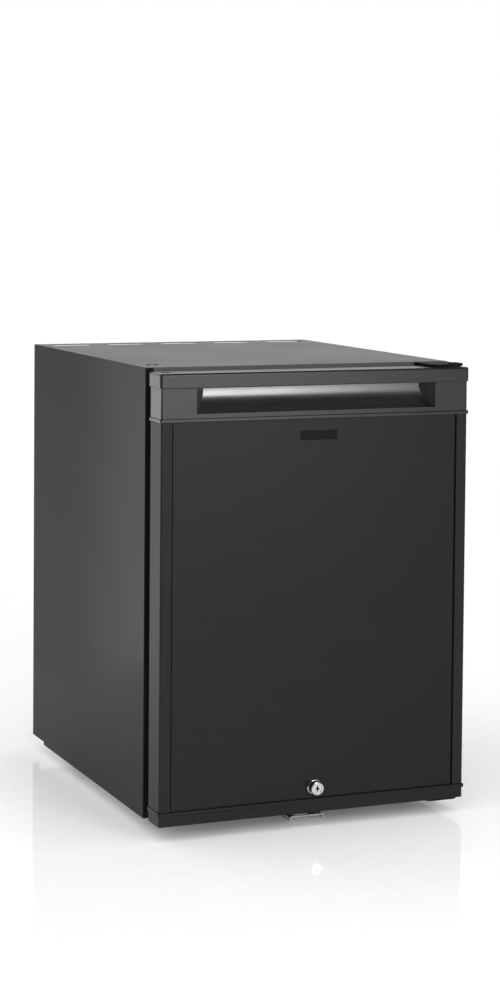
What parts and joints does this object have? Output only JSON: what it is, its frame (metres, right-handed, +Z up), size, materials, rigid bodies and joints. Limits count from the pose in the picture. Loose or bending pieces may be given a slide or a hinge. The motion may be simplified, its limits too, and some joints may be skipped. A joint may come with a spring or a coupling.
{
  "type": "minibar fridge",
  "caption": "Free-standing black minibar fridge: hinged door with recessed grip and cam lock, shelved cavity, and an absorption cooling unit in an open rear bay.",
  "frame": {"origin": "on the floor, under the middle of the whole fridge", "axes": "+Z up, +X to the right seen from the front (hinge side), door facing -Y"},
  "size_m": [0.4052, 0.509, 0.5592],
  "materials": {
    "cabinet_paint": "satin black enamel on steel sheet",
    "galvanised_steel": "galvanised sheet",
    "trim_plastic": "fine grained black moulding",
    "door_film": "black laminate with faint horizontal hairlines",
    "gloss_black": "polished black",
    "chrome": "polished",
    "seal_rubber": "soft black extrusion",
    "magnet": "brown magnetic strip",
    "white_liner": "satin white moulding",
    "foam": "rigid foam",
    "clear_plastic": "clear moulding",
    "coated_wire": "white coated wire",
    "aluminium": "bare extrusion",
    "unit_black": "black painted tube",
    "nylon": "natural nylon",
    "lens": "frosted clear",
    "board": "green circuit board"
  },
  "bodies": {
    "cabinet": {"left_side_panel": "cabinet_paint", "right_side_panel": "cabinet_paint", "top_panel": "cabinet_paint", "front_frame": "cabinet_paint", "top_hinge_plate": "cabinet_paint", "bottom_hinge_plate": "cabinet_paint", "bottom_panel": "galvanised_steel", "rear_panel": "galvanised_steel", "strike_bracket": "galvanised_steel", "cabinet_screws": "galvanised_steel", "hinge_pins": "galvanised_steel", "unit_brackets": "galvanised_steel", "boiler_jacket": "galvanised_steel", "heater_cartridge": "galvanised_steel", "blanking_plugs": "trim_plastic", "rear_feet": "trim_plastic", "terminal_box": "trim_plastic", "cable_gland": "trim_plastic", "inner_liner": "white_liner", "drip_tray": "white_liner", "control_box": "white_liner", "insulation_foam": "foam", "upper_wire_shelf": "coated_wire", "lower_wire_shelf": "coated_wire", "evaporator_fins": "aluminium", "evaporator_block": "aluminium", "condenser_tube": "unit_black", "condenser_fins": "unit_black", "absorber_vessel": "unit_black", "absorber_coil": "unit_black", "boiler_tube": "unit_black", "liquid_pipe": "unit_black", "foot_sockets": "nylon", "thermostat_switch": "nylon", "lamp_lens": "lens", "lamp_board": "board"},
    "door": {"door_panel": "door_film", "door_profile_left": "trim_plastic", "door_profile_right": "trim_plastic", "door_top_trim": "trim_plastic", "handle_cup": "gloss_black", "door_bottom_trim": "trim_plastic", "door_foam": "foam", "door_liner": "white_liner", "door_gasket": "seal_rubber", "gasket_magnets": "magnet", "upper_door_bin": "clear_plastic", "lower_door_bin": "clear_plastic", "lock_housing": "chrome", "lock_nut": "galvanised_steel", "hinge_bushes": "nylon", "badge_plate": "gloss_black", "door_plugs": "trim_plastic"},
    "lock": {"lock_plug": "chrome", "lock_cam": "galvanised_steel", "cam_screw": "galvanised_steel"},
    "knob": {"thermostat_knob": "white_liner"},
    "left_foot": {"front_left_foot": "trim_plastic"},
    "right_foot": {"front_right_foot": "trim_plastic"}
  },
  "joints": [
    {"name": "door_hinge", "type": "hinge", "parent": "cabinet", "child": "door", "pos_m": [0.189, -0.2275, 0.28], "axis": [0, 0, 1], "range_deg": [0, 110]},
    {"name": "lock_turn", "type": "hinge", "parent": "door", "child": "lock", "pos_m": [0, -0.2455, 0.049], "axis": [0, -1, 0], "range_deg": [0, 90]},
    {"name": "thermostat_turn", "type": "hinge", "parent": "cabinet", "child": "knob", "pos_m": [0.12, -0.1105, 0.509], "axis": [0, -1, 0], "range_deg": [0, 270]},
    {"name": "left_foot_screw", "type": "slide", "parent": "cabinet", "child": "left_foot", "axis": [0, 0, -1], "range_m": [0, 0.008]},
    {"name": "right_foot_screw", "type": "slide", "parent": "cabinet", "child": "right_foot", "axis": [0, 0, -1], "range_m": [0, 0.008]}
  ]
}
